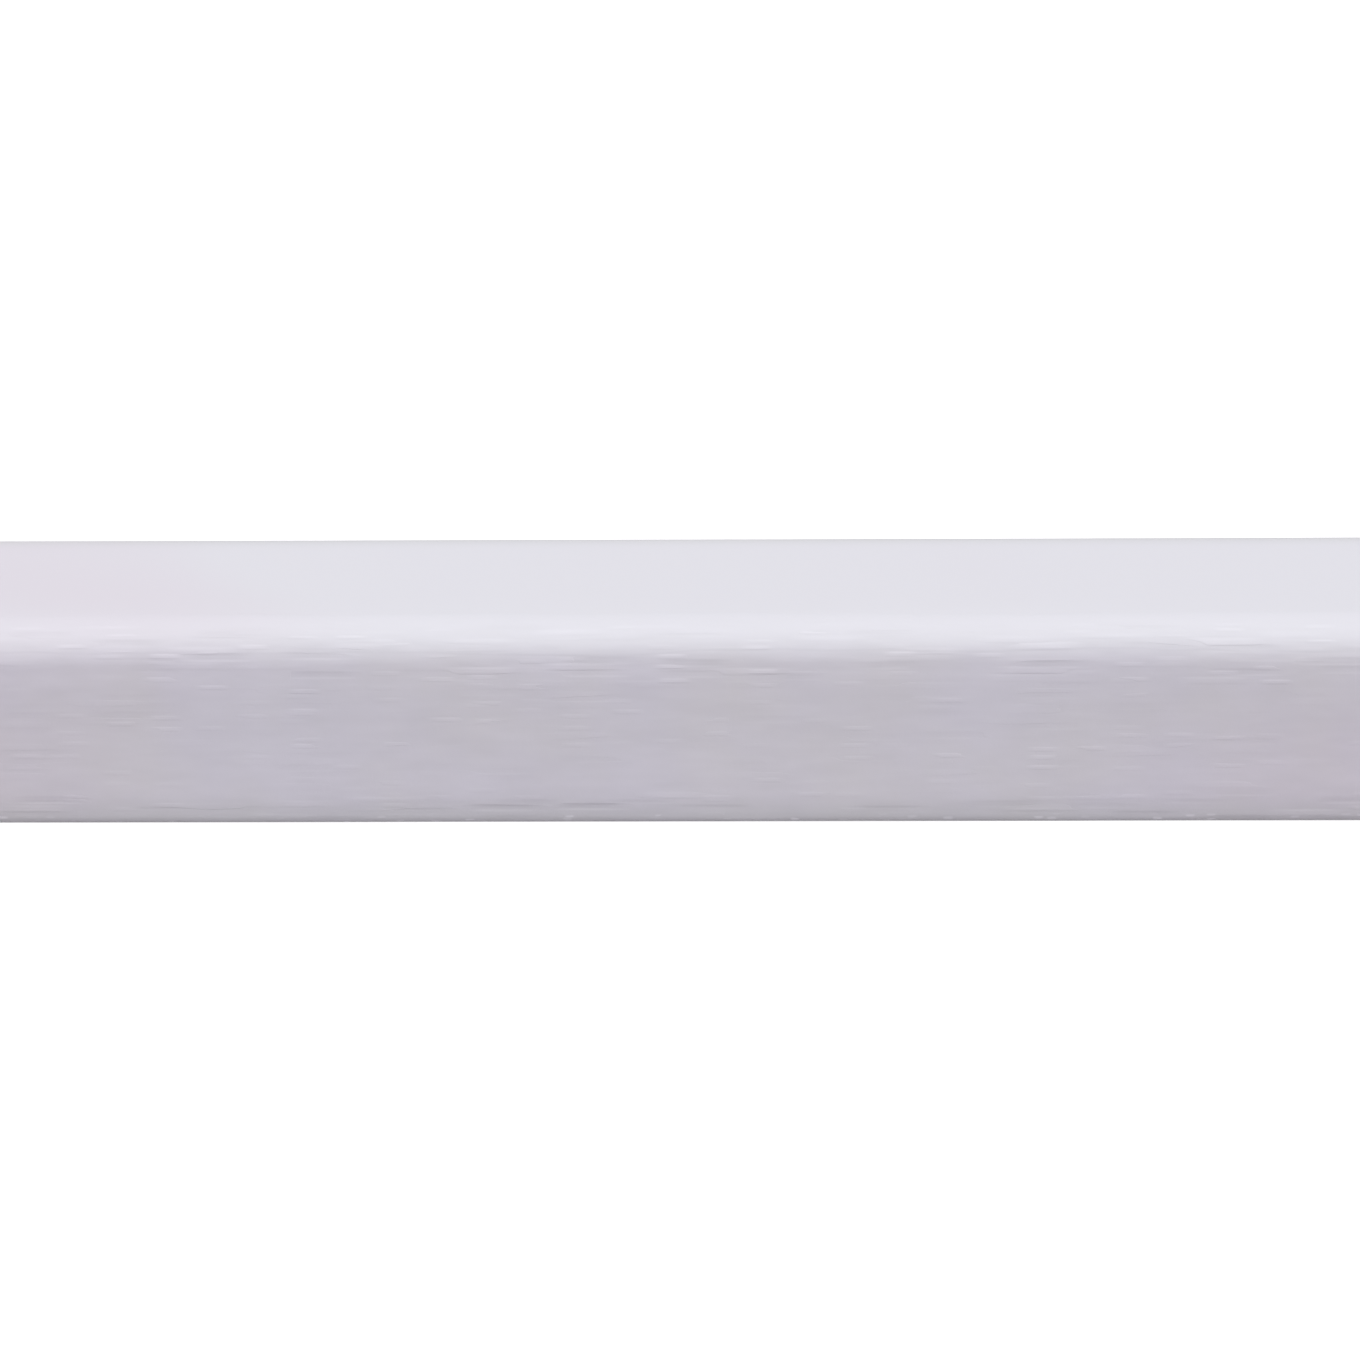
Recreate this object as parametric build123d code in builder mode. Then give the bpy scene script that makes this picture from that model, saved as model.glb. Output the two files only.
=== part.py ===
"""Glazing bead: a length of planed and primed softwood strip that holds a pane in its rebate.

The bead lies on its rebate face, with its rounded nose at the top of the front face. X runs along
the length, the front faces -Y, and the origin is in the middle of the rebate face. Millimetres.
"""

import os

from build123d import *

# Driving dimensions
LENGTH = 2400.0  # one stock length, sawn square at both ends
WIDTH = 15.0  # front face to glass face
HEIGHT = 9.0  # rebate face to top face
NOSE_RADIUS = 2.0  # rounded long edge between the front and top faces, which stays in sight
ARRIS_RADIUS = 0.5  # the other three long edges, eased by sanding

front = -WIDTH / 2
back = WIDTH / 2

with BuildPart() as glazing_bead:
    # The section, from the foot of the front face round by the nose to the foot of the glass face
    with BuildSketch(Plane.YZ):
        with BuildLine():
            FilletPolyline(
                (front, 0),
                (front, HEIGHT),
                (back, HEIGHT),
                (back, 0),
                radius=[ARRIS_RADIUS, NOSE_RADIUS, ARRIS_RADIUS, ARRIS_RADIUS],
                close=True,
            )
        make_face()
    extrude(amount=LENGTH / 2, both=True)

glazing_bead.part.label = "glazing_bead"

os.makedirs("parts", exist_ok=True)
export_step(glazing_bead.part, "parts/glazing_bead.step")
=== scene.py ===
"""Looks of a primed softwood glazing bead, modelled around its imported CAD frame.

The bead lies on its rebate face along X, with its rounded nose at the top of the front face (-Y).
Sizes are in metres. The file is laid out as an add-on: settings for the bead's shape, its finish
and the studio, one operator for the bead, one for the stage, and a panel that lists them.
"""

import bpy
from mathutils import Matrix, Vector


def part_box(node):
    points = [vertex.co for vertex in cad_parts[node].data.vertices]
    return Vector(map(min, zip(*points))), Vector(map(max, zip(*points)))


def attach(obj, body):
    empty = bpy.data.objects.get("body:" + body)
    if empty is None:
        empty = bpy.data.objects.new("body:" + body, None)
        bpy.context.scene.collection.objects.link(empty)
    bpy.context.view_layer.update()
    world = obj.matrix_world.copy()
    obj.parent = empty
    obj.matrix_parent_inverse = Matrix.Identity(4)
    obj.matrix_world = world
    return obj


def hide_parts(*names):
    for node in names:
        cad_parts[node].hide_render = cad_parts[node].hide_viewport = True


bl_info = {
    "name": "Primed Glazing Bead",
    "version": (1, 0, 0),
    "blender": (4, 5, 0),
    "location": "View3D > Sidebar > Glazing Bead",
    "description": "Models a primed softwood glazing bead and sets a plain studio stage for it",
    "category": "Object",
}

import math
from typing import NamedTuple

import bmesh
import bpy
from bpy.props import FloatProperty, FloatVectorProperty, IntProperty, PointerProperty
from mathutils import Quaternion, Vector

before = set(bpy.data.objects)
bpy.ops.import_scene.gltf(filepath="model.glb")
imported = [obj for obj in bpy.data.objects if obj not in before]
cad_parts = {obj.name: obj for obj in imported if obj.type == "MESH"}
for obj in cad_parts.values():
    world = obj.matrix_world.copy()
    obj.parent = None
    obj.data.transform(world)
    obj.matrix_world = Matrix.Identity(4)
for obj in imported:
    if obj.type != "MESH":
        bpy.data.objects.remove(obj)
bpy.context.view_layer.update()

MM = 0.001
MICRON = 0.000001
BEAD_NODE = "glazing_bead"
BEAD_LOW, BEAD_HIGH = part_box(BEAD_NODE)
BEAD_MIDDLE = (BEAD_LOW + BEAD_HIGH) / 2
BEAD_SIZE = BEAD_HIGH - BEAD_LOW

# Where in the endless noise the bead's own pattern of warm patches starts, in patches
BLUSH_START = (15.1, 4.6, 5.1)

# How blunt the ends of fibres, shreds and chips are, from 2, an oval, upwards
BLUNTNESS = 4.0

# Acrylic paint
PRIMER_IOR = 1.47

# A Wave texture's bands are this far apart where its scale is 1
WAVE_UNIT = 2 * math.pi / 20

# The value that a Noise texture swings about
NOISE_MIDDLE = 0.5

# Least cosine of the angle between a face's normal and the direction that it looks in squarely
SQUARELY = 0.999

# Parts of a place that lie across the bead
ACROSS = 1
UPWARDS = 2

# Settings that nodes are added with
SMOOTH = {"interpolation_type": "SMOOTHSTEP"}
SUBTRACT = {"operation": "SUBTRACT"}
MULTIPLY = {"operation": "MULTIPLY"}
MULTIPLY_ADD = {"operation": "MULTIPLY_ADD"}
LARGER = {"operation": "MAXIMUM"}
SCALE = {"operation": "SCALE"}
COLOURS = {"data_type": "RGBA"}
TINTS = {"data_type": "RGBA", "blend_type": "MULTIPLY"}

# Sockets of a Mix node that mixes colours, which share their names with its other kinds
MIX_FACTOR = 0
MIX_FIRST = 6
MIX_SECOND = 7
MIX_RESULT = 2


def linear_from_hex(code):
    """Linear red, green and blue of an sRGB hex colour"""
    channels = [int(code[start:start + 2], 16) / 255 for start in (0, 2, 4)]
    return tuple(c / 12.92 if c <= 0.04045 else ((c + 0.055) / 1.055) ** 2.4 for c in channels)


class BeadShape(bpy.types.PropertyGroup):
    """Sizes of the bead's section and of the marks that planing and sanding left on it"""

    nose_radius: FloatProperty(
        name="Nose radius",
        description="Rounding of the long edge between the front and top faces",
        default=2.0 * MM,
        unit="LENGTH",
    )
    arris_radius: FloatProperty(
        name="Arris radius",
        description="Rounding of the other three long edges",
        default=0.5 * MM,
        unit="LENGTH",
    )
    arris_squareness: FloatProperty(
        name="Arris squareness",
        description="Shape of the eased edges, from 0.5, a quarter circle, to 1, a square corner",
        default=0.75,
        subtype="FACTOR",
    )
    nose_sanded_reach: FloatProperty(
        name="Nose sanded reach",
        description="How far from the rounded nose the sanding still lowers a face",
        default=0.8 * MM,
        unit="LENGTH",
    )
    nose_sanded_depth: FloatProperty(
        name="Nose sanded depth",
        description="How much the sanding lowers a face where it meets the nose",
        default=0.039 * MM,
        unit="LENGTH",
    )
    arris_sanded_reach: FloatProperty(
        name="Arris sanded reach",
        description="How far from an eased arris the sanding still lowers a face",
        default=1.4 * MM,
        unit="LENGTH",
    )
    arris_sanded_depth: FloatProperty(
        name="Arris sanded depth",
        description="How much the sanding lowers a face where it meets an arris",
        default=0.13 * MM,
        unit="LENGTH",
    )
    waver_depth: FloatProperty(
        name="Waver depth",
        description="Unevenness that planing and sanding left in the rounded edges, trough to crest",
        default=0.07 * MM,
        unit="LENGTH",
    )
    waver_length: FloatProperty(
        name="Waver length",
        description="Length of one uneven patch along the grain",
        default=6.0 * MM,
        unit="LENGTH",
    )
    waver_width: FloatProperty(
        name="Waver width",
        description="Width of one uneven patch across the grain",
        default=1.2 * MM,
        unit="LENGTH",
    )
    flat_share: FloatProperty(
        name="Flat share",
        description="Share of the unevenness that is left in the middle of a face",
        default=0.2,
        subtype="FACTOR",
    )
    primer_film: FloatProperty(
        name="Primer film",
        description="Width of the white rim that the coats of primer make round a sawn end",
        default=0.12 * MM,
        unit="LENGTH",
    )
    rings: IntProperty(
        name="Rings",
        description="Square root of the number of rings that the length is divided into",
        default=34,
    )


class BeadFinish(bpy.types.PropertyGroup):
    """Colours and surface of the primer, and of the bare wood at the sawn ends"""

    primer_colour: FloatVectorProperty(
        name="Primer",
        description="Cool white of the primer",
        default=linear_from_hex("DEDDE7"),
        subtype="COLOR",
    )
    mealy_tint: FloatVectorProperty(
        name="Mealy tint",
        description="What the primer's white is multiplied by where it dried mealy",
        default=linear_from_hex("FFFFFA"),
        subtype="COLOR",
    )
    cloud_length: FloatProperty(
        name="Cloud length",
        description="Length of the cool and mealy clouds in the primer",
        default=6.0 * MM,
        unit="LENGTH",
    )
    cloud_width: FloatProperty(
        name="Cloud width",
        description="Width of the cool and mealy clouds in the primer",
        default=6.0 * MM,
        unit="LENGTH",
    )
    # The blush is a warmer, slightly darker white in broad patches along the bead. On the sides, between
    # the patches, it is a painted tint of the light that falls on them.
    blush_colour: FloatVectorProperty(
        name="Blush",
        description="Warmer white of the primer where it went on thinner",
        default=linear_from_hex("DCD6E2"),
        subtype="COLOR",
    )
    blush_length: FloatProperty(
        name="Blush length",
        description="Length of the patches of thin primer",
        default=24.0 * MM,
        unit="LENGTH",
    )
    blush_width: FloatProperty(
        name="Blush width",
        description="Width of the patches of thin primer",
        default=20.0 * MM,
        unit="LENGTH",
    )
    # Painted light: between the patches the sides take the blush as a painted tint of the light on them,
    # and the top does not.
    side_painted_tint: FloatProperty(
        name="Side blush",
        description="How far the primer on the sides is blushed between the patches",
        default=0.5,
        subtype="FACTOR",
    )
    primer_roughness: FloatProperty(
        name="Primer roughness",
        description="Roughness of the dry primer, from 0, mirror smooth, to 1, chalky",
        default=0.65,
        subtype="FACTOR",
    )
    roughness_swing: FloatProperty(
        name="Roughness swing",
        description="How far the roughness varies with the grain, up and down",
        default=0.15,
        subtype="FACTOR",
    )
    # Partly rubbed wear, partly painted shade: the duller white darkens the back arris of the top face and
    # the foot of the front face, where shade falls.
    rubbed_and_shaded_colour: FloatVectorProperty(
        name="Rubbed arris",
        description="Duller white where the arrises were rubbed down almost to the wood",
        default=linear_from_hex("CBCBCD"),
        subtype="COLOR",
    )
    back_rubbed_and_shaded_reach: FloatProperty(
        name="Back rubbed reach",
        description="How far in front of the back arris the rubbing down still shows",
        default=2.5 * MM,
        unit="LENGTH",
    )
    foot_rubbed_and_shaded_reach: FloatProperty(
        name="Foot rubbed reach",
        description="How far above the foot of the front face the rubbing down still shows",
        default=1.25 * MM,
        unit="LENGTH",
    )
    foot_rubbed_and_shaded_share: FloatProperty(
        name="Foot rubbed share",
        description="How far the foot of the front face is rubbed down, against the back arris",
        default=0.6,
        subtype="FACTOR",
    )
    fibre_length: FloatProperty(
        name="Fibre length",
        description="Length of the plot of wood that each raised fibre stands in",
        default=2.0 * MM,
        unit="LENGTH",
    )
    fibre_width: FloatProperty(
        name="Fibre width",
        description="Width of the plot of wood that each raised fibre stands in",
        default=0.3 * MM,
        unit="LENGTH",
    )
    fibre_height: FloatProperty(
        name="Fibre height",
        description="How far the strongest fibres stand out of the faces",
        default=6.0 * MICRON,
        unit="LENGTH",
    )
    # Partly painted highlight: besides their own tone, the lighter fibres stand in for the light on their
    # raised sides.
    fibre_tone_and_highlight: FloatProperty(
        name="Fibre tone",
        description="How much lighter the strongest fibres are than the primer between them",
        default=0.03,
        subtype="FACTOR",
    )
    grain_length: FloatProperty(
        name="Grain length",
        description="Length of the faint streaks of grain that show through the primer",
        default=2.2 * MM,
        unit="LENGTH",
    )
    grain_width: FloatProperty(
        name="Grain width",
        description="Width of the faint streaks of grain that show through the primer",
        default=0.65 * MM,
        unit="LENGTH",
    )
    ripple_height: FloatProperty(
        name="Ripple height",
        description="Height of the ripples that the grain makes on the nose",
        default=18.0 * MICRON,
        unit="LENGTH",
    )
    grain_tone: FloatProperty(
        name="Grain tone",
        description="How much the streaks of grain vary in lightness",
        default=0.12,
        subtype="FACTOR",
    )
    top_grain_share: FloatProperty(
        name="Top grain share",
        description="Strength of the streaks of grain on the sanded top face, against the sides",
        default=0.2,
        subtype="FACTOR",
    )
    shred_length: FloatProperty(
        name="Shred length",
        description="Length of the plot of wood that each shred of torn grain stands in",
        default=4.0 * MM,
        unit="LENGTH",
    )
    shred_width: FloatProperty(
        name="Shred width",
        description="Width of the plot of wood that each shred of torn grain stands in",
        default=0.4 * MM,
        unit="LENGTH",
    )
    shred_height: FloatProperty(
        name="Shred height",
        description="Height of the torn grain, from the deepest hollow to the highest shred",
        default=28.0 * MICRON,
        unit="LENGTH",
    )
    # Partly painted light and shade: besides their own tone, shreds are painted lighter and the hollows
    # between them darker.
    shred_tone_and_shade: FloatProperty(
        name="Shred tone",
        description="How much the torn grain varies in lightness",
        default=0.1,
        subtype="FACTOR",
    )
    shred_share: FloatProperty(
        name="Shred share",
        description="Strength of the torn grain in the middle of the front face, against the edges",
        default=0.25,
        subtype="FACTOR",
    )
    step_rise: FloatProperty(
        name="Step rise",
        description="Height above the foot of the nose of the fine step that the nose cutter left",
        default=0.7 * MM,
        unit="LENGTH",
    )
    step_depth: FloatProperty(
        name="Step depth",
        description="Depth of the fine step that the nose cutter left",
        default=6.0 * MICRON,
        unit="LENGTH",
    )
    step_width: FloatProperty(
        name="Step width",
        description="Width over which the fine step falls away",
        default=0.12 * MM,
        unit="LENGTH",
    )
    step_wander: FloatProperty(
        name="Step wander",
        description="How far the fine step may wander up and down",
        default=0.8 * MM,
        unit="LENGTH",
    )
    step_wander_length: FloatProperty(
        name="Step wander length",
        description="Length over which the fine step wanders up and down",
        default=12.0 * MM,
        unit="LENGTH",
    )
    chip_length: FloatProperty(
        name="Chip length",
        description="Length of the plot of wood that each chip in the foot stands in",
        default=0.75 * MM,
        unit="LENGTH",
    )
    chip_width: FloatProperty(
        name="Chip width",
        description="Width of the plot of wood that each chip in the foot stands in",
        default=0.26 * MM,
        unit="LENGTH",
    )
    # Partly painted light: besides being chipped primer, the lighter chips lighten the foot's rounding,
    # which faces the floor and lies in shade.
    chip_tone_and_painted_light: FloatProperty(
        name="Chip tone",
        description="How much lighter the chips in the foot are than the primer round them",
        default=0.27,
        subtype="FACTOR",
    )
    ring_spacing: FloatProperty(
        name="Ring spacing",
        description="Distance between the growth rings at a sawn end",
        default=1.7 * MM,
        unit="LENGTH",
    )
    saw_mark_spacing: FloatProperty(
        name="Saw mark spacing",
        description="Distance between the marks of the saw at a sawn end",
        default=0.6 * MM,
        unit="LENGTH",
    )
    saw_mark_depth: FloatProperty(
        name="Saw mark depth",
        description="Depth of the marks of the saw at a sawn end",
        default=15.0 * MICRON,
        unit="LENGTH",
    )
    speckle_tone: FloatProperty(
        name="Speckle tone",
        description="How much the cells at a sawn end vary in lightness",
        default=0.15,
        subtype="FACTOR",
    )
    early_wood: FloatVectorProperty(
        name="Early wood",
        description="Pale spring wood at a sawn end",
        default=linear_from_hex("E0C496"),
        subtype="COLOR",
    )
    late_wood: FloatVectorProperty(
        name="Late wood",
        description="Dark summer wood of the growth rings at a sawn end",
        default=linear_from_hex("B98A54"),
        subtype="COLOR",
    )


class StudioStage(bpy.types.PropertyGroup):
    """Camera, light and floor"""

    elevation: FloatProperty(
        name="Elevation",
        description="Angle of the camera above the horizon",
        default=math.radians(15.8),
        subtype="ANGLE",
    )
    azimuth: FloatProperty(
        name="Azimuth",
        description="Angle of the camera round the bead, from square on to the front face",
        default=math.radians(1.526),
        subtype="ANGLE",
    )
    roll: FloatProperty(
        name="Roll",
        description="Turn of the camera about its own line of sight",
        default=math.radians(-0.55),
        subtype="ANGLE",
    )
    distance: FloatProperty(
        name="Distance",
        description="Distance of the camera from the point that it looks at",
        default=334.6 * MM,
        unit="LENGTH",
    )
    aim_height: FloatProperty(
        name="Aim height",
        description="Height of the point that the camera looks at",
        default=4.364 * MM,
        unit="LENGTH",
    )
    lens: FloatProperty(
        name="Lens",
        description="Focal length in millimetres",
        default=200.0,
    )
    key_level: FloatProperty(
        name="Key level",
        description="Light of the overhead lamp on a white card that faces it, where 1 is full white",
        default=0.7296,
    )
    key_tilt: FloatProperty(
        name="Key tilt",
        description="Lean of the overhead lamp towards the camera",
        default=math.radians(21.25),
        subtype="ANGLE",
    )
    key_softness: FloatProperty(
        name="Key softness",
        description="Width of the overhead lamp as seen from the bead",
        default=math.radians(40.0),
        subtype="ANGLE",
    )
    fill_level: FloatProperty(
        name="Fill level",
        description="Even light from all round, where 1 is full white",
        default=0.328,
    )
    floor_colour: FloatVectorProperty(
        name="Floor",
        description="Colour of the floor as it lights the bead from below",
        default=linear_from_hex("BCBABD"),
        subtype="COLOR",
    )
    floor_glow: FloatProperty(
        name="Floor glow",
        description="White added to the floor where the camera sees it",
        default=0.8,
    )
    floor_size: FloatProperty(
        name="Floor size",
        description="Length of the floor's sides",
        default=60.0,
        unit="LENGTH",
    )


def add_node(tree, kind, settings=None, inputs=None):
    """Adds a node with its settings, and a value or a socket to link from for each input

    Gives the node's outputs.
    """
    node = tree.nodes.new(kind)
    for name, value in (settings or {}).items():
        setattr(node, name, value)
    for socket, value in (inputs or {}).items():
        if isinstance(value, bpy.types.NodeSocket):
            tree.links.new(value, node.inputs[socket])
        else:
            node.inputs[socket].default_value = value
    return node.outputs


def new_material(name):
    """A material with an empty node tree, and that tree"""
    material = bpy.data.materials.new(name)
    material.use_nodes = True
    material.node_tree.nodes.clear()
    return material, material.node_tree


def opaque(colour):
    """A colour with full alpha, as colour sockets want it"""
    return (*colour, 1.0)


def along_grain(length, width):
    """Scale of a pattern whose marks are this long along the bead and this wide across it"""
    return (1 / length, 1 / width, 1 / width)


def plots(tree, place, length, width, solid, edge):
    """Long thin plots of wood with a blunt fibre, shred or chip in the middle of each

    Gives how far a place is inside the mark, from 0 at its edge to 1 where it is solid, and a chance
    from 0 to 1 that each plot has of its own. Solid and edge are distances from the middle of a
    plot, in plots.
    """
    plot_place = add_node(
        tree, "ShaderNodeMapping", inputs={"Vector": place, "Scale": along_grain(length, width)}
    )["Vector"]
    cells = add_node(
        tree,
        "ShaderNodeTexVoronoi",
        {"distance": "MINKOWSKI"},
        {"Vector": plot_place, "Scale": 1.0, "Exponent": BLUNTNESS},
    )
    body = add_node(
        tree,
        "ShaderNodeMapRange",
        SMOOTH,
        {"Value": cells["Distance"], "From Min": edge, "From Max": solid},
    )["Result"]
    chance = add_node(tree, "ShaderNodeSeparateColor", inputs={"Color": cells["Color"]})["Red"]
    return body, chance


def noise_patches(tree, place, length, width, finer, start=(0, 0, 0)):
    """Noise in patches that are this long along the bead and this wide across it

    Finer is how many layers of finer noise lie on the first, and start is where in the noise the
    bead's middle lies, in patches.
    """
    patch_place = add_node(
        tree,
        "ShaderNodeMapping",
        inputs={"Vector": place, "Location": start, "Scale": along_grain(length, width)},
    )["Vector"]
    return add_node(
        tree, "ShaderNodeTexNoise", inputs={"Vector": patch_place, "Scale": 1.0, "Detail": finer}
    )["Fac"]


class Zones(NamedTuple):
    """Masks from 0 to 1 for the parts of the bead that its making marked"""

    top: bpy.types.NodeSocket
    below_top: bpy.types.NodeSocket
    front: bpy.types.NodeSocket
    nose: bpy.types.NodeSocket
    foot: bpy.types.NodeSocket


def marked_zones(tree, axes, shape):
    """The zones of the bead, from the place along each axis"""
    nose_foot = BEAD_HIGH.z - shape.nose_radius
    nose_back = BEAD_LOW.y + shape.nose_radius

    # The top face was sanded smooth, and the grain starts part of the way down the nose
    grain_starts = BEAD_HIGH.z - 0.1 * MM
    grain_is_full = BEAD_HIGH.z - 0.6 * MM

    # The front ends a little way behind the nose, which leaves out the back and most of the underside
    front_ends = nose_back + 0.5 * MM

    # The plane tore the grain on the nose, a little way below it, and along the foot of the front face
    torn_nose_ends = nose_foot - 1.2 * MM
    torn_foot_starts = BEAD_LOW.z + 1.5 * MM
    torn_foot_is_full = BEAD_LOW.z + 0.8 * MM

    # Each zone's axis, and the places along it where the zone ends and where it is full
    spans = {
        "top": ("Z", nose_foot, grain_is_full),
        "below_top": ("Z", grain_starts, grain_is_full),
        "front": ("Y", front_ends, nose_back),
        "nose": ("Z", torn_nose_ends, nose_foot),
        "foot": ("Z", torn_foot_starts, torn_foot_is_full),
    }
    masks = {}
    for zone, (axis, ends, full) in spans.items():
        masks[zone] = add_node(
            tree, "ShaderNodeMapRange", SMOOTH, {"Value": axes[axis], "From Min": ends, "From Max": full}
        )["Result"]
    for zone in ("nose", "foot"):
        masks[zone] = add_node(
            tree, "ShaderNodeMath", MULTIPLY, {0: masks[zone], 1: masks["front"]}
        )["Value"]
    return Zones(**masks)


def raised_fibres(tree, place, zones, finish):
    """Rise of the raised fibres, up to 1 on the faces and up to 2 on the nose"""
    plots_without = 0.6
    body, chance = plots(tree, place, finish.fibre_length, finish.fibre_width, solid=0.15, edge=0.42)
    strength = add_node(
        tree, "ShaderNodeMapRange", inputs={"Value": chance, "From Min": plots_without}
    )["Result"]
    rise = add_node(tree, "ShaderNodeMath", MULTIPLY, {0: body, 1: strength})["Value"]
    share = add_node(
        tree, "ShaderNodeMath", MULTIPLY_ADD, {0: zones.nose, 1: zones.below_top, 2: zones.below_top}
    )["Value"]
    return add_node(tree, "ShaderNodeMath", MULTIPLY, {0: rise, 1: share})["Value"]


def torn_shreds(tree, place, height, zones, finish):
    """Rise of the torn grain, from a hollow at -0.5 to a shred at 0.5

    As many plots hold a shred as a hollow. Along one line above the foot, where the front face was
    sanded away, all of it is 0.25 lower, so that most plots hold a hollow.
    """
    usual_hollows = 0.5
    hollows_on_line = 0.75
    line_height = BEAD_LOW.z + 0.85 * MM
    line_is_full = 0.1 * MM
    line_ends = 0.3 * MM
    body, chance = plots(tree, place, finish.shred_length, finish.shred_width, solid=0.15, edge=0.5)
    above_line = add_node(tree, "ShaderNodeMath", SUBTRACT, {0: height, 1: line_height})["Value"]
    off_line = add_node(tree, "ShaderNodeMath", {"operation": "ABSOLUTE"}, {0: above_line})["Value"]
    hollow_share = add_node(
        tree,
        "ShaderNodeMapRange",
        SMOOTH,
        {
            "Value": off_line,
            "From Min": line_is_full,
            "From Max": line_ends,
            "To Min": hollows_on_line,
            "To Max": usual_hollows,
        },
    )["Result"]
    strength = add_node(tree, "ShaderNodeMath", SUBTRACT, {0: chance, 1: hollow_share})["Value"]
    rise = add_node(tree, "ShaderNodeMath", MULTIPLY, {0: body, 1: strength})["Value"]
    at_edges = add_node(tree, "ShaderNodeMath", LARGER, {0: zones.nose, 1: zones.foot})["Value"]
    torn = add_node(
        tree, "ShaderNodeMapRange", inputs={"Value": at_edges, "To Min": finish.shred_share}
    )["Result"]
    share = add_node(tree, "ShaderNodeMath", MULTIPLY, {0: torn, 1: zones.below_top})["Value"]
    return add_node(tree, "ShaderNodeMath", MULTIPLY, {0: rise, 1: share})["Value"]


def cutter_step(tree, axes, grain, zones, shape, finish):
    """Rise of the nose above the fine step where its cutter left off, in heights of the torn grain

    The step wanders up and down along the bead, and is faint where the grain is dark.
    """
    faint_grain = 0.1
    strong_grain = 0.6
    finer_waves = 3.0
    wander = add_node(
        tree,
        "ShaderNodeTexNoise",
        {"noise_dimensions": "1D"},
        {"W": axes["X"], "Scale": 1 / finish.step_wander_length, "Detail": finer_waves},
    )["Fac"]
    lowest = BEAD_HIGH.z - shape.nose_radius + finish.step_rise - finish.step_wander / 2
    step_height = add_node(
        tree, "ShaderNodeMath", MULTIPLY_ADD, {0: wander, 1: finish.step_wander, 2: lowest}
    )["Value"]
    above_step = add_node(tree, "ShaderNodeMath", SUBTRACT, {0: axes["Z"], 1: step_height})["Value"]
    depth = add_node(
        tree,
        "ShaderNodeMapRange",
        inputs={
            "Value": grain,
            "From Min": faint_grain,
            "From Max": strong_grain,
            "To Max": finish.step_depth / finish.shred_height,
        },
    )["Result"]
    front_depth = add_node(tree, "ShaderNodeMath", MULTIPLY, {0: depth, 1: zones.front})["Value"]
    return add_node(
        tree,
        "ShaderNodeMapRange",
        SMOOTH,
        {
            "Value": above_step,
            "From Min": -finish.step_width / 2,
            "From Max": finish.step_width / 2,
            "To Max": front_depth,
        },
    )["Result"]


def foot_chips_and_painted_light(tree, place, height, zones, finish):
    """Where the small chips on the rounding of the foot are, and how much lighter they are, partly chipped
    primer and partly painted light on a rounding that faces the floor
    """
    plots_without = 0.5
    full_chips = 0.8
    chips_start = BEAD_LOW.z + 0.45 * MM
    chips_are_full = BEAD_LOW.z + 0.25 * MM
    body, chance = plots(tree, place, finish.chip_length, finish.chip_width, solid=0.15, edge=0.35)
    strength = add_node(
        tree,
        "ShaderNodeMapRange",
        inputs={
            "Value": chance,
            "From Min": plots_without,
            "From Max": full_chips,
            "To Max": finish.chip_tone_and_painted_light,
        },
    )["Result"]
    on_rounding = add_node(
        tree,
        "ShaderNodeMapRange",
        SMOOTH,
        {"Value": height, "From Min": chips_start, "From Max": chips_are_full, "To Max": zones.front},
    )["Result"]
    share = add_node(tree, "ShaderNodeMath", MULTIPLY, {0: strength, 1: on_rounding})["Value"]
    return body, share


def warm_patches_and_painted_side_tint(tree, place, zones, finish):
    """Where the white is warmer: in broad patches, and between them on the sides more than on the top,
    where it is a painted tint of the light on the sides
    """
    patch_starts = 0.5
    patch_is_full = 0.73
    patches = noise_patches(
        tree, place, finish.blush_length, finish.blush_width, finer=0.0, start=BLUSH_START
    )
    between = add_node(
        tree, "ShaderNodeMapRange", inputs={"Value": zones.top, "To Min": finish.side_painted_tint, "To Max": 0.0}
    )["Result"]
    return add_node(
        tree,
        "ShaderNodeMapRange",
        SMOOTH,
        {"Value": patches, "From Min": patch_starts, "From Max": patch_is_full, "To Min": between},
    )["Result"]


def mealy_clouds(tree, place, zones, finish):
    """Where the primer dried mealy rather than cool, in clouds on the sides and evenly on the top"""
    cool = 0.4
    mealy = 0.75
    even = 0.5
    clouds = noise_patches(tree, place, finish.cloud_length, finish.cloud_width, finer=3.0)
    least, most = (
        add_node(
            tree, "ShaderNodeMapRange", inputs={"Value": zones.top, "To Min": on_sides, "To Max": even}
        )["Result"]
        for on_sides in (0.0, 1.0)
    )
    return add_node(
        tree,
        "ShaderNodeMapRange",
        inputs={"Value": clouds, "From Min": cool, "From Max": mealy, "To Min": least, "To Max": most},
    )["Result"]


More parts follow.
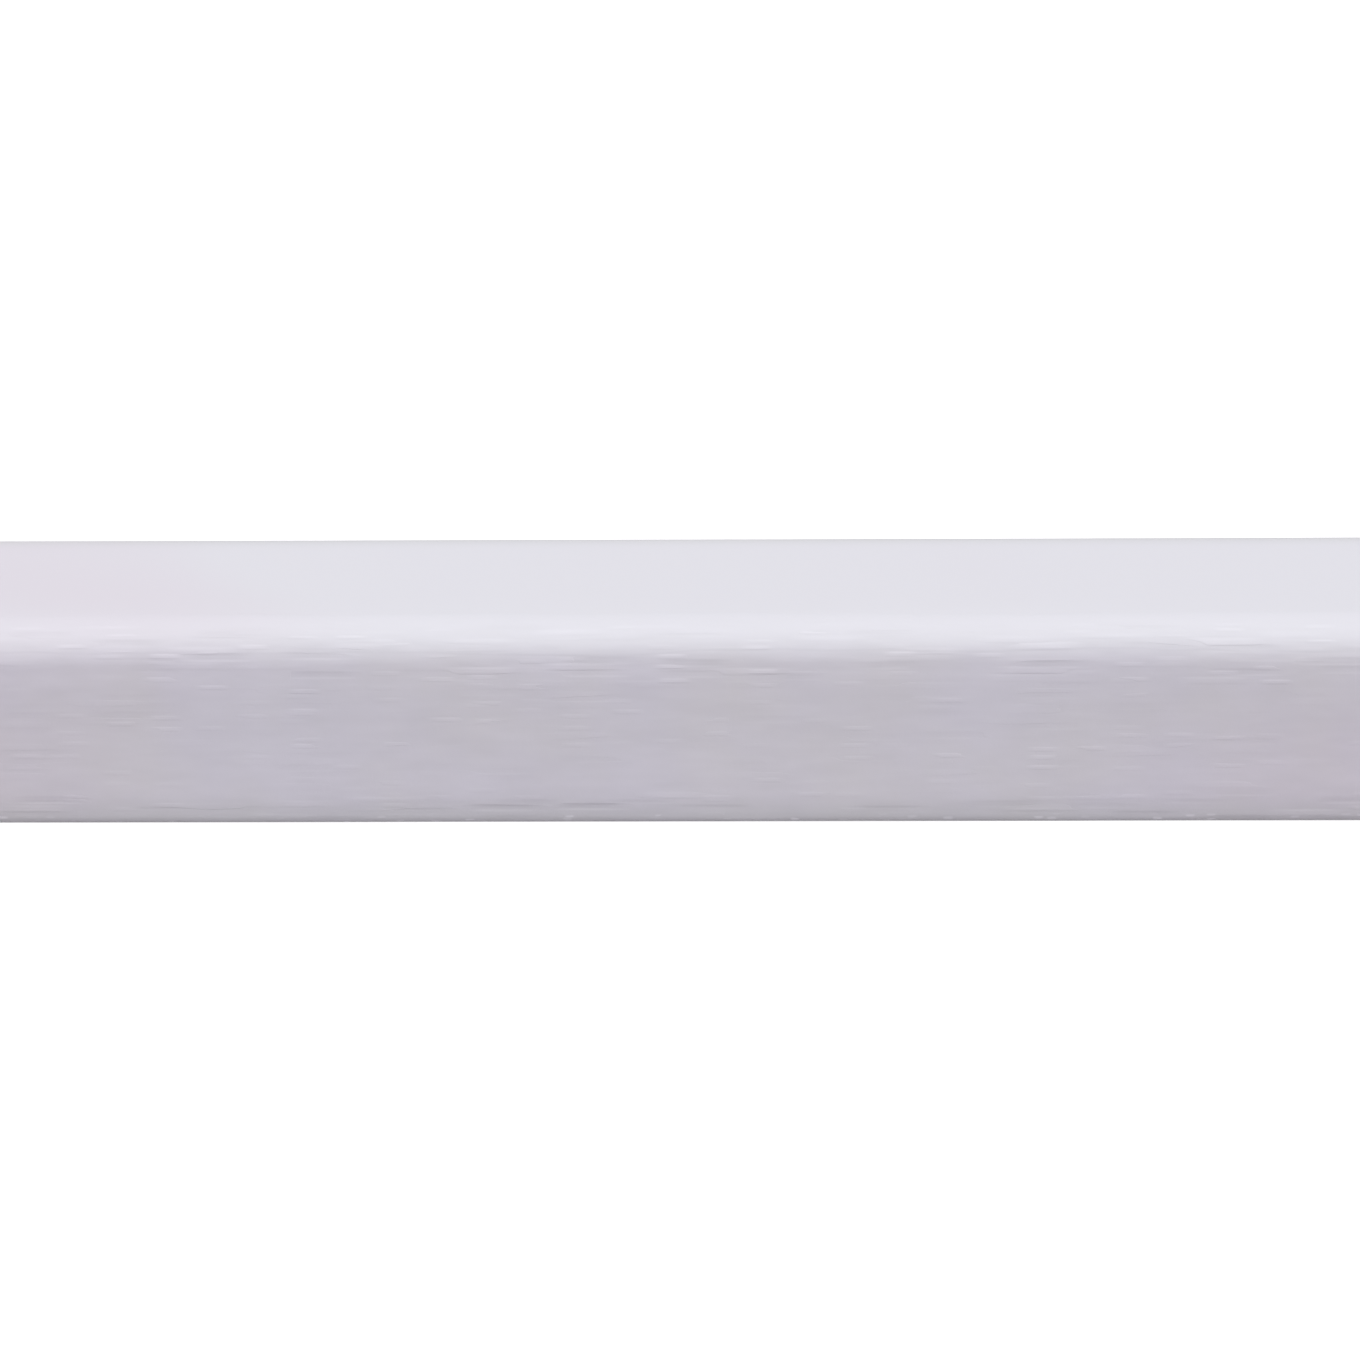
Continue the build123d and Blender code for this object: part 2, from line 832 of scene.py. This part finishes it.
def rubbed_and_shaded_arrises(tree, axes, zones, finish):
    """Where the arrises take a duller white, at the back of the top face and along the foot of the front,
    partly rubbed wear and partly painted shade where the edges turn from the light
    """
    at_top = add_node(
        tree, "ShaderNodeMapRange", inputs={"Value": zones.below_top, "To Min": 1.0, "To Max": 0.0}
    )["Result"]
    at_back = add_node(
        tree,
        "ShaderNodeMapRange",
        inputs={
            "Value": axes["Y"],
            "From Min": BEAD_HIGH.y - finish.back_rubbed_and_shaded_reach,
            "From Max": BEAD_HIGH.y,
            "To Max": at_top,
        },
    )["Result"]
    back = add_node(tree, "ShaderNodeMath", MULTIPLY, {0: at_back, 1: at_back})["Value"]
    at_foot = add_node(
        tree,
        "ShaderNodeMapRange",
        inputs={
            "Value": axes["Z"],
            "From Min": BEAD_LOW.z + finish.foot_rubbed_and_shaded_reach,
            "From Max": BEAD_LOW.z,
            "To Max": finish.foot_rubbed_and_shaded_share,
        },
    )["Result"]
    foot = add_node(tree, "ShaderNodeMath", MULTIPLY, {0: at_foot, 1: zones.front})["Value"]
    return add_node(tree, "ShaderNodeMath", LARGER, {0: back, 1: foot})["Value"]


def primer_on_planed_pine(shape, finish):
    """White acrylic primer, sprayed on planed pine and rubbed down

    The eye gets a dull, cool white with a faint warm blush in broad patches and, as a painted tint
    of the light, on the sides; short raised fibres along the grain that catch the light on their upper
    sides and are painted a little lighter too; shreds of torn grain on the nose and the foot of the
    front face, painted lighter on the shreds and darker in the hollows; chips on the foot's rounding
    painted lighter, partly painted light; and a duller line along the arrises, partly rubbed wear and
    partly painted shade.
    """
    material, tree = new_material("primer_on_planed_pine")
    place = add_node(tree, "ShaderNodeTexCoord")["Object"]
    axes = add_node(tree, "ShaderNodeSeparateXYZ", inputs={"Vector": place})
    height = axes["Z"]
    zones = marked_zones(tree, axes, shape)

    # Faint streaks of grain show through the film everywhere, and are ripples on the nose
    grain = noise_patches(tree, place, finish.grain_length, finish.grain_width, finer=1.0)
    swing = add_node(tree, "ShaderNodeMath", SUBTRACT, {0: grain, 1: NOISE_MIDDLE})["Value"]
    ripple_zone = add_node(tree, "ShaderNodeMath", MULTIPLY, {0: zones.nose, 1: zones.below_top})["Value"]
    ripples = add_node(tree, "ShaderNodeMath", MULTIPLY, {0: swing, 1: ripple_zone})["Value"]

    # The relief is reckoned in heights of the torn grain, its largest part
    fibres = raised_fibres(tree, place, zones, finish)
    shreds = torn_shreds(tree, place, height, zones, finish)
    rise = cutter_step(tree, axes, grain, zones, shape, finish)
    for marks, mark_height in (
        (fibres, finish.fibre_height),
        (ripples, finish.ripple_height),
        (shreds, finish.shred_height),
    ):
        share = mark_height / finish.shred_height
        rise = add_node(tree, "ShaderNodeMath", MULTIPLY_ADD, {0: marks, 1: share, 2: rise})["Value"]
    relief = add_node(
        tree, "ShaderNodeBump", inputs={"Height": rise, "Distance": finish.shred_height, "Strength": 1.0}
    )["Normal"]

    # Grain, fibres, shreds and chips also differ a little in lightness. For fibres, shreds and chips this
    # is partly their own tone
    # and partly painted light: raised fibres and shreds lighter and hollows darker, in place of their
    # relief's light and shade, and chips lighter on the foot's rounding, which faces the floor
    grain_strength = add_node(
        tree,
        "ShaderNodeMapRange",
        inputs={
            "Value": zones.below_top,
            "To Min": finish.top_grain_share * finish.grain_tone,
            "To Max": finish.grain_tone,
        },
    )["Result"]
    chip_body, chip_share = foot_chips_and_painted_light(tree, place, height, zones, finish)
    tone = 1.0
    for marks, strength in (
        (swing, grain_strength),
        (fibres, finish.fibre_tone_and_highlight),
        (shreds, finish.shred_tone_and_shade),
        (chip_body, chip_share),
    ):
        tone = add_node(tree, "ShaderNodeMath", MULTIPLY_ADD, {0: marks, 1: strength, 2: tone})["Value"]

    # The white takes in turn its warm blush, which on the sides is a painted tint of the light, its clouds,
    # and its duller arrises, partly rubbed wear and partly painted shade
    white = opaque(finish.primer_colour)
    for settings, share, colour in (
        (COLOURS, warm_patches_and_painted_side_tint(tree, place, zones, finish), finish.blush_colour),
        (TINTS, mealy_clouds(tree, place, zones, finish), finish.mealy_tint),
        (COLOURS, rubbed_and_shaded_arrises(tree, axes, zones, finish), finish.rubbed_and_shaded_colour),
    ):
        white = add_node(
            tree,
            "ShaderNodeMix",
            settings,
            {MIX_FACTOR: share, MIX_FIRST: white, MIX_SECOND: opaque(colour)},
        )[MIX_RESULT]
    toned = add_node(tree, "ShaderNodeVectorMath", SCALE, {"Vector": white, "Scale": tone})["Vector"]
    roughness = add_node(
        tree,
        "ShaderNodeMapRange",
        inputs={
            "Value": grain,
            "To Min": finish.primer_roughness - finish.roughness_swing,
            "To Max": finish.primer_roughness + finish.roughness_swing,
        },
    )["Result"]
    surface = add_node(
        tree,
        "ShaderNodeBsdfPrincipled",
        inputs={"Base Color": toned, "Roughness": roughness, "IOR": PRIMER_IOR, "Normal": relief},
    )["BSDF"]
    add_node(tree, "ShaderNodeOutputMaterial", inputs={"Surface": surface})
    return material


def sawn_pine_end(finish):
    """Bare pine end grain, cut square by a fine saw

    The eye gets flat arcs of growth rings, wide pale spring wood that ends in a thin brown line of
    summer wood, with a fine speckle of cells and the straight marks of the saw across them.
    """
    material, tree = new_material("sawn_pine_end_grain")
    place = add_node(tree, "ShaderNodeTexCoord")["Object"]

    # The heart of the tree lies well below the bead, so that the rings cross it as flat arcs
    heart_below = 30 * MM
    heart_aside = 9 * MM
    ring_waver = 1.5
    ring_place = add_node(
        tree, "ShaderNodeMapping", inputs={"Vector": place, "Location": (0, heart_aside, heart_below)}
    )["Vector"]
    rings = add_node(
        tree,
        "ShaderNodeTexWave",
        {"wave_type": "RINGS", "rings_direction": "X", "wave_profile": "SAW"},
        {"Vector": ring_place, "Scale": WAVE_UNIT / finish.ring_spacing, "Distortion": ring_waver},
    )["Fac"]

    # Part of each ring at which the spring wood starts to darken, and at which it is summer wood
    darkens = 0.5
    darkest = 0.95
    summer_wood = add_node(
        tree, "ShaderNodeMapRange", SMOOTH, {"Value": rings, "From Min": darkens, "From Max": darkest}
    )["Result"]
    grown = add_node(
        tree,
        "ShaderNodeMix",
        COLOURS,
        {
            MIX_FACTOR: summer_wood,
            MIX_FIRST: opaque(finish.early_wood),
            MIX_SECOND: opaque(finish.late_wood),
        },
    )[MIX_RESULT]

    # The cells are about 0.03 mm wide, too fine to show, so their speckle is drawn four times as coarse
    speckle_size = 0.12 * MM
    finer_speckle = 1.0
    speckle = add_node(
        tree,
        "ShaderNodeTexNoise",
        inputs={"Vector": place, "Scale": 1 / speckle_size, "Detail": finer_speckle},
    )["Fac"]
    tone = add_node(
        tree,
        "ShaderNodeMapRange",
        inputs={"Value": speckle, "To Min": 1 - finish.speckle_tone, "To Max": 1 + finish.speckle_tone},
    )["Result"]
    colour = add_node(tree, "ShaderNodeVectorMath", SCALE, {"Vector": grown, "Scale": tone})["Vector"]

    saw_waver = 2.0
    marks = add_node(
        tree,
        "ShaderNodeTexWave",
        {"wave_type": "BANDS", "bands_direction": "Z"},
        {"Vector": place, "Scale": WAVE_UNIT / finish.saw_mark_spacing, "Distortion": saw_waver},
    )["Fac"]
    relief = add_node(
        tree, "ShaderNodeBump", inputs={"Height": marks, "Distance": finish.saw_mark_depth, "Strength": 1.0}
    )["Normal"]

    # Dense summer wood is cut smoother than spring wood
    spring_roughness = 0.85
    summer_roughness = 0.65
    roughness = add_node(
        tree,
        "ShaderNodeMapRange",
        inputs={"Value": summer_wood, "To Min": spring_roughness, "To Max": summer_roughness},
    )["Result"]
    surface = add_node(
        tree,
        "ShaderNodeBsdfPrincipled",
        inputs={"Base Color": colour, "Roughness": roughness, "Normal": relief},
    )["BSDF"]
    add_node(tree, "ShaderNodeOutputMaterial", inputs={"Surface": surface})
    return material


def near(first, second):
    """Whether two lengths agree to within a micron"""
    return abs(first - second) < MICRON


def nearness(distance, reach):
    """1 at an edge and beyond it, falling to 0 at the end of its reach"""
    return min(1, max(0, 1 - distance / reach))


def distance_from_nose(place, shape):
    """How far a place on the bead's section is from the nose, 0 on the rounding itself"""
    behind = place.y - BEAD_LOW.y - shape.nose_radius
    below = BEAD_HIGH.z - shape.nose_radius - place.z
    return max(0, behind) + max(0, below)


def runs_along(edge):
    """Whether an edge runs along the bead"""
    first, second = (vert.co for vert in edge.verts)
    return near(first.y, second.y) and near(first.z, second.z)


def select_edges(wanted):
    """In edit mode, selects only the edges that pass the test"""
    bpy.ops.mesh.select_mode(type="EDGE")
    bpy.ops.mesh.select_all(action="DESELECT")
    mesh = bpy.context.edit_object.data
    cage = bmesh.from_edit_mesh(mesh)
    for edge in cage.edges:
        if wanted(edge):
            edge.select_set(True)
    bmesh.update_edit_mesh(mesh)


def select_faces(*outward):
    """In edit mode, selects only the faces that look squarely in one of the directions"""
    bpy.ops.mesh.select_mode(type="FACE")
    bpy.ops.mesh.select_all(action="DESELECT")
    mesh = bpy.context.edit_object.data
    cage = bmesh.from_edit_mesh(mesh)
    cage.normal_update()
    for face in cage.faces:
        if any(face.normal.dot(direction) > SQUARELY for direction in outward):
            face.select_set(True)
    bmesh.update_edit_mesh(mesh)


class BEAD_OT_model(bpy.types.Operator):
    """Model the bead: a planed length with a rounded nose, sanded, primed and sawn off square"""

    bl_idname = "glazing_bead.model"
    bl_label = "Model the bead"
    bl_options = {"REGISTER", "UNDO"}

    # Length at each end that the saw takes off
    OFFCUT = 3 * MM
    NOSE_FACETS = 16
    ARRIS_FACETS = 8
    FRONT_STRIPS = 4
    TOP_STRIPS = 6
    HIDDEN_STRIPS = 3

    # Cuts beside each rounded edge, how far from the edge the last one is, and how closely they crowd
    # towards the edge, from 1, evenly spaced, upwards
    EDGE_CUTS = 7
    EDGE_CUTS_REACH = 1.8 * MM
    EDGE_CUTS_CROWDING = 2

    # Least angle of an edge that is still sharp, and largest of one that is shaded smooth
    SHARP = math.radians(80)
    SHADED_SMOOTH = math.radians(40)

    # How the sanding deepens towards an edge, from 1, a straight slope, upwards
    SANDING_CURVE = 1.5

    def execute(self, context):
        shape = context.scene.glazing_bead_shape
        finish = context.scene.glazing_bead_finish
        bead = self.plane(shape)
        self.divide(shape)
        self.sand(bead, shape)
        self.roughen(bead, shape)
        bead.data.materials.append(primer_on_planed_pine(shape, finish))
        bead.data.materials.append(sawn_pine_end(finish))
        self.saw_ends(bead, shape)
        bpy.ops.object.shade_smooth_by_angle(angle=self.SHADED_SMOOTH)
        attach(bead, "root")
        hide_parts(BEAD_NODE)
        return {"FINISHED"}

    def plane(self, shape):
        """A squared length, a little overlong, with its nose and its other long edges rounded"""
        bpy.ops.object.select_all(action="DESELECT")
        overlong = BEAD_SIZE + Vector((2 * self.OFFCUT, 0, 0))
        bpy.ops.mesh.primitive_cube_add(size=1, location=BEAD_MIDDLE, scale=overlong)
        bpy.ops.object.transform_apply(location=True, rotation=True, scale=True)
        bead = bpy.context.object
        bead.name = "primed_bead"
        bead.data.name = "primed_bead"
        bpy.ops.object.mode_set(mode="EDIT")

        def is_nose(edge):
            start = edge.verts[0].co
            return runs_along(edge) and near(start.y, BEAD_LOW.y) and near(start.z, BEAD_HIGH.z)

        def is_arris(edge):
            return runs_along(edge) and edge.calc_face_angle() > self.SHARP

        select_edges(is_nose)
        bpy.ops.mesh.bevel(offset=shape.nose_radius, segments=self.NOSE_FACETS, affect="EDGES")
        select_edges(is_arris)
        bpy.ops.mesh.bevel(
            offset=shape.arris_radius,
            segments=self.ARRIS_FACETS,
            profile=shape.arris_squareness,
            affect="EDGES",
        )
        return bead

    def divide(self, shape):
        """Cuts the faces into strips, closest beside the rounded edges, and the length into rings"""
        for step in range(1, self.EDGE_CUTS + 1):
            distance = self.EDGE_CUTS_REACH * (step / self.EDGE_CUTS) ** self.EDGE_CUTS_CROWDING
            for height in (
                BEAD_LOW.z + shape.arris_radius + distance,
                BEAD_HIGH.z - shape.nose_radius - distance,
            ):
                select_faces(Vector((0, -1, 0)))
                bpy.ops.mesh.bisect(plane_co=(0, 0, height), plane_no=(0, 0, 1))
            for depth in (
                BEAD_LOW.y + shape.nose_radius + distance,
                BEAD_HIGH.y - shape.arris_radius - distance,
            ):
                select_faces(Vector((0, 0, 1)))
                bpy.ops.mesh.bisect(plane_co=(0, depth, 0), plane_no=(0, 1, 0))

        narrowest = self.EDGE_CUTS_REACH
        for axis, level, strips in (
            (ACROSS, BEAD_LOW.y, self.FRONT_STRIPS),
            (UPWARDS, BEAD_HIGH.z, self.TOP_STRIPS),
            (ACROSS, BEAD_HIGH.y, self.HIDDEN_STRIPS),
            (UPWARDS, BEAD_LOW.z, self.HIDDEN_STRIPS),
        ):
            def crosses_wide_strip(edge):
                middle = (edge.verts[0].co + edge.verts[1].co) / 2
                wide = edge.calc_length() > narrowest and not runs_along(edge)
                return wide and near(middle[axis], level)

            select_edges(crosses_wide_strip)
            bpy.ops.mesh.subdivide(number_cuts=strips - 1)

        # Divided twice over, so that a few cuts make many rings
        for _ in range(2):
            select_edges(runs_along)
            bpy.ops.mesh.subdivide(number_cuts=shape.rings - 1)
        bpy.ops.object.mode_set(mode="OBJECT")

    def displace(self, bead, weight, strength, direction="NORMAL", texture=None, grain=None):
        """Shifts each point of the bead by its own share of a distance"""
        shares = bead.vertex_groups.new(name="shares")
        for vertex in bead.data.vertices:
            shares.add([vertex.index], weight(vertex.co), "REPLACE")
        bpy.ops.object.modifier_add(type="DISPLACE")
        shift = bead.modifiers[-1]
        shift.vertex_group = shares.name
        shift.direction = direction
        shift.strength = strength
        if texture:
            shift.texture = texture
            shift.texture_coords = "OBJECT"
            shift.texture_coords_object = grain
        else:
            shift.mid_level = 0
        bpy.ops.object.modifier_apply(modifier=shift.name)
        bead.vertex_groups.clear()

    def sand(self, bead, shape):
        """Lowers the shown faces towards their rounded edges, as a sanding block does"""

        def lowering(distance, reach):
            return nearness(distance, reach) ** self.SANDING_CURVE

        def beside_nose(place):
            return lowering(distance_from_nose(place, shape), shape.nose_sanded_reach)

        def above_foot(place):
            on_front = place.y < BEAD_LOW.y + shape.arris_radius + MICRON
            return lowering(place.z - BEAD_LOW.z, shape.arris_sanded_reach) if on_front else 0

        def before_back(place):
            on_top = place.z > BEAD_HIGH.z - shape.arris_radius - MICRON
            return lowering(BEAD_HIGH.y - place.y, shape.arris_sanded_reach) if on_top else 0

        self.displace(bead, beside_nose, -shape.nose_sanded_depth)
        self.displace(bead, above_foot, shape.arris_sanded_depth, direction="Y")
        self.displace(bead, before_back, -shape.arris_sanded_depth, direction="Z")

    def roughen(self, bead, shape):
        """Leaves the long low waves of planed and sanded wood, strongest on the nose"""
        bpy.ops.object.empty_add()
        grain = bpy.context.object
        grain.scale = (shape.waver_length, shape.waver_width, shape.waver_width)
        bpy.ops.object.select_all(action="DESELECT")
        bead.select_set(True)
        bpy.context.view_layer.objects.active = bead
        waves = bpy.data.textures.new("planed_waves", "CLOUDS")
        waves.noise_scale = 1
        waves.noise_depth = 1

        def unevenness(place):
            on_nose = nearness(distance_from_nose(place, shape), shape.nose_sanded_reach)
            return max(shape.flat_share, on_nose)

        self.displace(bead, unevenness, shape.waver_depth, texture=waves, grain=grain)
        bpy.data.objects.remove(grain)
        bpy.data.textures.remove(waves)

    def saw_ends(self, bead, shape):
        """Saws both ends off square and leaves bare wood inside a rim of primer"""
        bpy.ops.object.mode_set(mode="EDIT")
        for end, outward in ((BEAD_HIGH.x, 1), (BEAD_LOW.x, -1)):
            bpy.ops.mesh.select_all(action="SELECT")
            bpy.ops.mesh.bisect(
                plane_co=(end, 0, 0),
                plane_no=(outward, 0, 0),
                use_fill=True,
                clear_outer=True,
            )
        select_faces(Vector((1, 0, 0)), Vector((-1, 0, 0)))
        bpy.ops.mesh.inset(thickness=shape.primer_film, use_individual=True)
        bead.active_material_index = 1
        bpy.ops.object.material_slot_assign()
        bpy.ops.object.mode_set(mode="OBJECT")


def seen_directly(tree):
    """A factor that is 1 for what the camera sees, also in a mirror or through glass"""
    path = add_node(tree, "ShaderNodeLightPath")
    camera_or_mirror = add_node(
        tree, "ShaderNodeMath", LARGER, {0: path["Is Camera Ray"], 1: path["Is Glossy Ray"]}
    )["Value"]
    return add_node(
        tree, "ShaderNodeMath", LARGER, {0: camera_or_mirror, 1: path["Is Transmission Ray"]}
    )["Value"]


def even_studio_light(stage):
    """A world that lights the bead evenly and looks white"""
    world = bpy.data.worlds.new("even_studio_light")
    world.use_nodes = True
    tree = world.node_tree
    tree.nodes.clear()
    level = add_node(
        tree,
        "ShaderNodeMapRange",
        inputs={"Value": seen_directly(tree), "To Min": stage.fill_level, "To Max": 1.0},
    )["Result"]
    light = add_node(
        tree, "ShaderNodeBackground", inputs={"Color": opaque((1, 1, 1)), "Strength": level}
    )["Background"]
    add_node(tree, "ShaderNodeOutputWorld", inputs={"Surface": light})
    return world


def white_sweep(stage):
    """A matt floor that looks white and lights the bead from below"""
    material, tree = new_material("white_sweep")
    material.cycles.emission_sampling = "NONE"
    glow_level = add_node(
        tree, "ShaderNodeMath", MULTIPLY, {0: seen_directly(tree), 1: stage.floor_glow}
    )["Value"]
    glow = add_node(
        tree, "ShaderNodeEmission", inputs={"Color": opaque((1, 1, 1)), "Strength": glow_level}
    )["Emission"]
    matt = add_node(tree, "ShaderNodeBsdfDiffuse", inputs={"Color": opaque(stage.floor_colour)})["BSDF"]
    both = add_node(tree, "ShaderNodeAddShader", inputs={0: matt, 1: glow})["Shader"]
    add_node(tree, "ShaderNodeOutputMaterial", inputs={"Surface": both})
    return material


class BEAD_OT_stage(bpy.types.Operator):
    """Set the stage: a white floor, soft overhead light and the camera"""

    bl_idname = "glazing_bead.stage"
    bl_label = "Set the stage"
    bl_options = {"REGISTER", "UNDO"}

    def execute(self, context):
        stage = context.scene.glazing_bead_stage
        bpy.ops.object.select_all(action="DESELECT")
        self.lay_floor(stage)
        self.hang_lamp(stage)
        self.set_camera(context, stage)
        context.scene.world = even_studio_light(stage)
        context.scene.view_settings.view_transform = "Standard"
        return {"FINISHED"}

    def lay_floor(self, stage):
        """The floor that the bead lies on"""
        bpy.ops.mesh.primitive_plane_add(size=stage.floor_size)
        floor = bpy.context.object
        floor.name = "floor"
        floor.data.materials.append(white_sweep(stage))

    def hang_lamp(self, stage):
        """The soft overhead lamp, far enough away to light the whole length alike"""
        bpy.ops.object.light_add(type="SUN", rotation=(stage.key_tilt, 0, 0))
        lamp = bpy.context.object
        lamp.name = "key_lamp"
        lamp.data.energy = math.pi * stage.key_level
        lamp.data.angle = stage.key_softness

    def set_camera(self, context, stage):
        """The camera, just above the front face and a little to the right of square"""
        back = Vector((
            math.sin(stage.azimuth) * math.cos(stage.elevation),
            -math.cos(stage.azimuth) * math.cos(stage.elevation),
            math.sin(stage.elevation),
        ))
        aim = Vector((0, 0, stage.aim_height))
        upright = (-back).to_track_quat("-Z", "Y")
        bpy.ops.object.camera_add(location=aim + stage.distance * back)
        camera = bpy.context.object
        camera.name = "camera"
        camera.rotation_mode = "QUATERNION"
        camera.rotation_quaternion = upright @ Quaternion((0, 0, 1), stage.roll)
        camera.data.lens = stage.lens
        camera.data.clip_start = stage.distance / 10
        context.scene.camera = camera


class BEAD_PT_panel(bpy.types.Panel):
    """Settings and steps of the glazing bead"""

    bl_idname = "BEAD_PT_panel"
    bl_label = "Glazing Bead"
    bl_space_type = "VIEW_3D"
    bl_region_type = "UI"
    bl_category = "Glazing Bead"

    def draw(self, context):
        scene = context.scene
        steps = (
            (BEAD_OT_model, (scene.glazing_bead_shape, scene.glazing_bead_finish)),
            (BEAD_OT_stage, (scene.glazing_bead_stage,)),
        )
        for operator, groups in steps:
            box = self.layout.box()
            for group in groups:
                for name in group.__annotations__:
                    box.prop(group, name)
            box.operator(operator.bl_idname)


CLASSES = (BeadShape, BeadFinish, StudioStage, BEAD_OT_model, BEAD_OT_stage, BEAD_PT_panel)


def register():
    for cls in CLASSES:
        bpy.utils.register_class(cls)
    bpy.types.Scene.glazing_bead_shape = PointerProperty(type=BeadShape)
    bpy.types.Scene.glazing_bead_finish = PointerProperty(type=BeadFinish)
    bpy.types.Scene.glazing_bead_stage = PointerProperty(type=StudioStage)


def unregister():
    del bpy.types.Scene.glazing_bead_stage
    del bpy.types.Scene.glazing_bead_finish
    del bpy.types.Scene.glazing_bead_shape
    for cls in reversed(CLASSES):
        bpy.utils.unregister_class(cls)


def main():
    register()
    bpy.ops.glazing_bead.model()
    bpy.ops.glazing_bead.stage()


if __name__ == "__main__":
    main()
